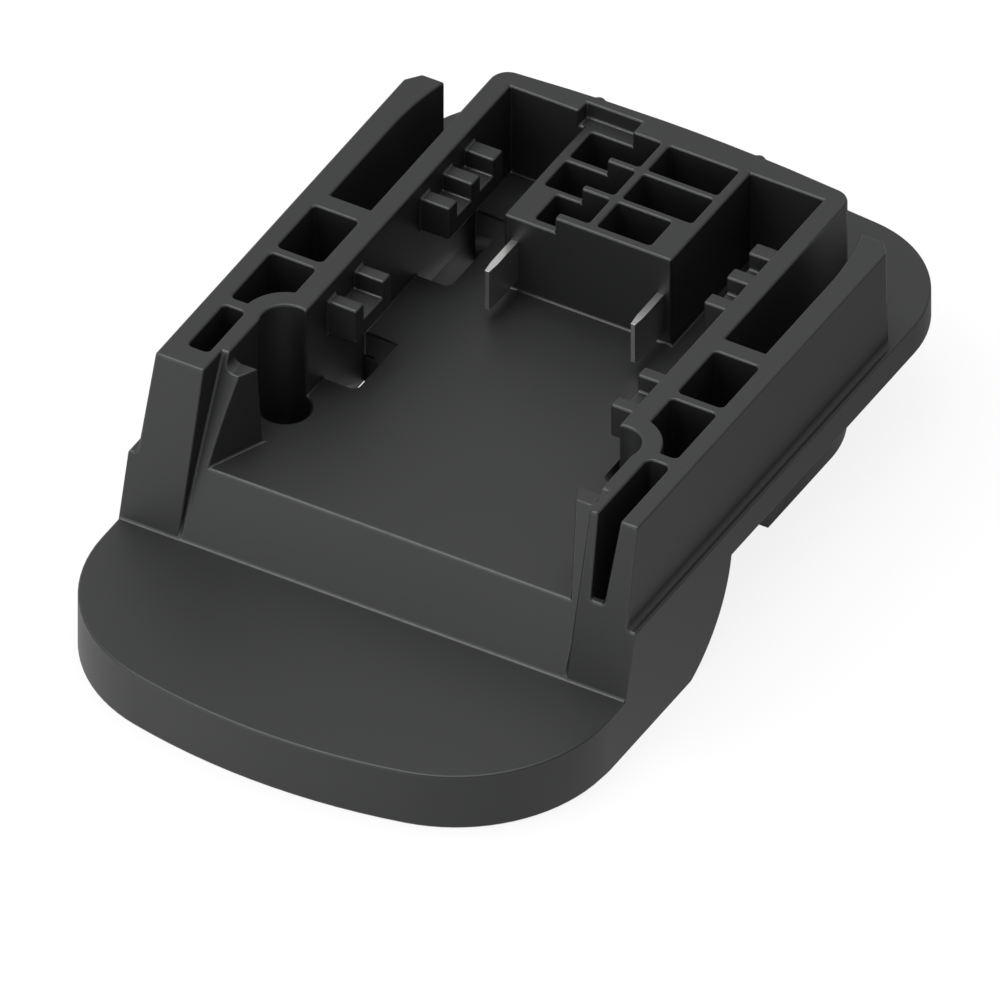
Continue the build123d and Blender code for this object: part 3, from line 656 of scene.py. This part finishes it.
# Leads: stranded wire in soft vinyl, black on the left and red on the right, in a half turn
# from the upper terminal to the lower one.
for side, name, colour in (
    ("left", "lead_black", (0.016, 0.016, 0.017, 1)),
    ("right", "lead_red", (0.42, 0.018, 0.016, 1)),
):
    insulation = plastic(name + "_vinyl", colour, colour, roughness=0.45, edge_roughness=0.45)
    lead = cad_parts["lead_" + side]
    lead.data.materials.clear()
    lead.data.materials.append(insulation)

# Foot screws: four larger screws of the same kind, driven from below through the flange
# into the bosses of the housing.
foot_screw = one_screw(
    head_radius=2.6 * MM, head=1.7 * MM, shank_radius=1.4 * MM, length=6.6 * MM, pitch=1.1 * MM
)
bosses = [(-33, 14.6, 13), (-33, 37, 13), (33, 14.6, 13), (33, 37, 13)]
set_of_screws("foot_screw_set", "foot_screws", foot_screw, bosses, upside_down=False)

# Studio: a white sheet that stays white in the picture and keeps a faint shadow, pale walls that
# darken towards the right, a bright panel low in front and two soft boxes, above and front left.
FLOOR_HALF = 3.0
SHEET_WHITE = 0.85
SHEET_GREY = 0.68
SHEET_ROUGHNESS = 0.9
NEAR_GLOW = 1.2
FAR_GLOW = 0.55
NEAR_Y = -140 * MM
FAR_Y = 60 * MM
RIGHT_SHARE = 0.78
SIDE_REACH = 60 * MM
bpy.ops.object.select_all(action="DESELECT")
bpy.ops.mesh.primitive_plane_add(size=2 * FLOOR_HALF, location=(0, 0, 0))
floor = bpy.context.object
floor.name = "floor"
material, tree, shader = new_material("white_sheet")
nodes, links = tree.nodes, tree.links
shader.inputs["Base Color"].default_value = (SHEET_GREY, SHEET_GREY, SHEET_GREY, 1)
shader.inputs["Roughness"].default_value = SHEET_ROUGHNESS
place = nodes.new("ShaderNodeTexCoord")
split = nodes.new("ShaderNodeSeparateXYZ")
links.new(place.outputs["Object"], split.inputs["Vector"])
fall = nodes.new("ShaderNodeMapRange")
fall.interpolation_type = "SMOOTHSTEP"
fall.inputs["From Min"].default_value = NEAR_Y
fall.inputs["From Max"].default_value = FAR_Y
fall.inputs["To Min"].default_value = NEAR_GLOW
fall.inputs["To Max"].default_value = FAR_GLOW
links.new(split.outputs["Y"], fall.inputs["Value"])
rightwards = nodes.new("ShaderNodeMapRange")
rightwards.interpolation_type = "SMOOTHSTEP"
rightwards.inputs["From Min"].default_value = -SIDE_REACH
rightwards.inputs["From Max"].default_value = SIDE_REACH
rightwards.inputs["To Min"].default_value = 1
rightwards.inputs["To Max"].default_value = RIGHT_SHARE
links.new(split.outputs["X"], rightwards.inputs["Value"])
both_ways = nodes.new("ShaderNodeMath")
both_ways.operation = "MULTIPLY"
links.new(fall.outputs["Result"], both_ways.inputs[0])
links.new(rightwards.outputs["Result"], both_ways.inputs[1])
# In reflections the sheet is a painted glow, not its lit surface: brighter in front and painted
# darker towards the back and the right, where its shade falls.
painted_reflection = nodes.new("ShaderNodeEmission")
links.new(both_ways.outputs["Value"], painted_reflection.inputs["Strength"])
seen_sheet = nodes.new("ShaderNodeBsdfDiffuse")
left_over = 1 - SHEET_WHITE
seen_sheet.inputs["Color"].default_value = (left_over, left_over, left_over, 1)
glow = nodes.new("ShaderNodeEmission")
glow.inputs["Strength"].default_value = SHEET_WHITE
seen = nodes.new("ShaderNodeAddShader")
links.new(seen_sheet.outputs["BSDF"], seen.inputs[0])
links.new(glow.outputs["Emission"], seen.inputs[1])
path = nodes.new("ShaderNodeLightPath")
in_gloss = nodes.new("ShaderNodeMixShader")
links.new(path.outputs["Is Glossy Ray"], in_gloss.inputs["Fac"])
links.new(shader.outputs["BSDF"], in_gloss.inputs[1])
links.new(painted_reflection.outputs["Emission"], in_gloss.inputs[2])
choice = nodes.new("ShaderNodeMixShader")
links.new(path.outputs["Is Camera Ray"], choice.inputs["Fac"])
links.new(in_gloss.outputs["Shader"], choice.inputs[1])
links.new(seen.outputs["Shader"], choice.inputs[2])
links.new(choice.outputs["Shader"], nodes["Material Output"].inputs["Surface"])
floor.data.materials.append(material)

BRIGHT_SIDE = (-0.81, -0.30, 0.50)
SURROUND_MIDDLE = 0.6
SURROUND_SWING = 0.3
PANEL_SIDE = (-0.36, -0.93, 0.06)
PANEL_EDGE = 0.85
PANEL_CORE = 0.97
PANEL_LEVEL = 1.1
world = bpy.data.worlds.new("surround")
bpy.context.scene.world = world
world.use_nodes = True
nodes, links = world.node_tree.nodes, world.node_tree.links
background = nodes["Background"]
background.inputs["Color"].default_value = (1, 1, 1, 1)
direction = nodes.new("ShaderNodeTexCoord")
towards = nodes.new("ShaderNodeVectorMath")
towards.operation = "DOT_PRODUCT"
towards.inputs[1].default_value = BRIGHT_SIDE
links.new(direction.outputs["Generated"], towards.inputs[0])
walls = nodes.new("ShaderNodeMath")
walls.operation = "MULTIPLY_ADD"
walls.inputs[1].default_value = SURROUND_SWING
walls.inputs[2].default_value = SURROUND_MIDDLE
links.new(towards.outputs["Value"], walls.inputs[0])
ahead = nodes.new("ShaderNodeVectorMath")
ahead.operation = "DOT_PRODUCT"
ahead.inputs[1].default_value = PANEL_SIDE
links.new(direction.outputs["Generated"], ahead.inputs[0])
panel = nodes.new("ShaderNodeMapRange")
panel.interpolation_type = "SMOOTHSTEP"
panel.inputs["From Min"].default_value = PANEL_EDGE
panel.inputs["From Max"].default_value = PANEL_CORE
panel.inputs["To Max"].default_value = PANEL_LEVEL
links.new(ahead.outputs["Value"], panel.inputs["Value"])
lit_walls = nodes.new("ShaderNodeMath")
lit_walls.operation = "ADD"
links.new(walls.outputs["Value"], lit_walls.inputs[0])
links.new(panel.outputs["Result"], lit_walls.inputs[1])
path = nodes.new("ShaderNodeLightPath")
level = nodes.new("ShaderNodeMix")
level.inputs["B"].default_value = 1
links.new(path.outputs["Is Camera Ray"], level.inputs["Factor"])
links.new(lit_walls.outputs["Value"], level.inputs["A"])
links.new(level.outputs["Result"], background.inputs["Strength"])

BOX_DISTANCE = 1.0
for name, side, size, glow_level in (
    ("front_box", Vector((-0.385, -0.306, 0.872)), 0.6, 2.4),
    ("top_box", Vector((0, 0, 1)), 0.8, 1.7),
):
    data = bpy.data.lights.new(name, "AREA")
    data.size = size
    data.energy = glow_level * pi * size * size
    soft_box = bpy.data.objects.new(name, data)
    bpy.context.scene.collection.objects.link(soft_box)
    soft_box.location = side * BOX_DISTANCE
    soft_box.rotation_euler = side.to_track_quat("Z", "Y").to_euler()

# Camera: a parallel projection from the photograph's direction, 30 degrees to the right of the
# front and 39 degrees above it, its view as wide as the photograph's.
LOOK_AT = Vector((6.69, -9.81, 14.93)) * MM
TURN = radians(29.85)
TILT = radians(39.28)
VIEW_WIDTH = 149.75 * MM
DISTANCE = 1.0
back = Vector((sin(TURN) * cos(TILT), -cos(TURN) * cos(TILT), sin(TILT)))
data = bpy.data.cameras.new("camera")
data.type = "ORTHO"
data.ortho_scale = VIEW_WIDTH
data.clip_end = 10
camera = bpy.data.objects.new("camera", data)
bpy.context.scene.collection.objects.link(camera)
camera.location = LOOK_AT + back * DISTANCE
camera.rotation_mode = "QUATERNION"
camera.rotation_quaternion = (-back).to_track_quat("-Z", "Y")
bpy.context.scene.camera = camera
bpy.context.scene.view_settings.view_transform = "Standard"
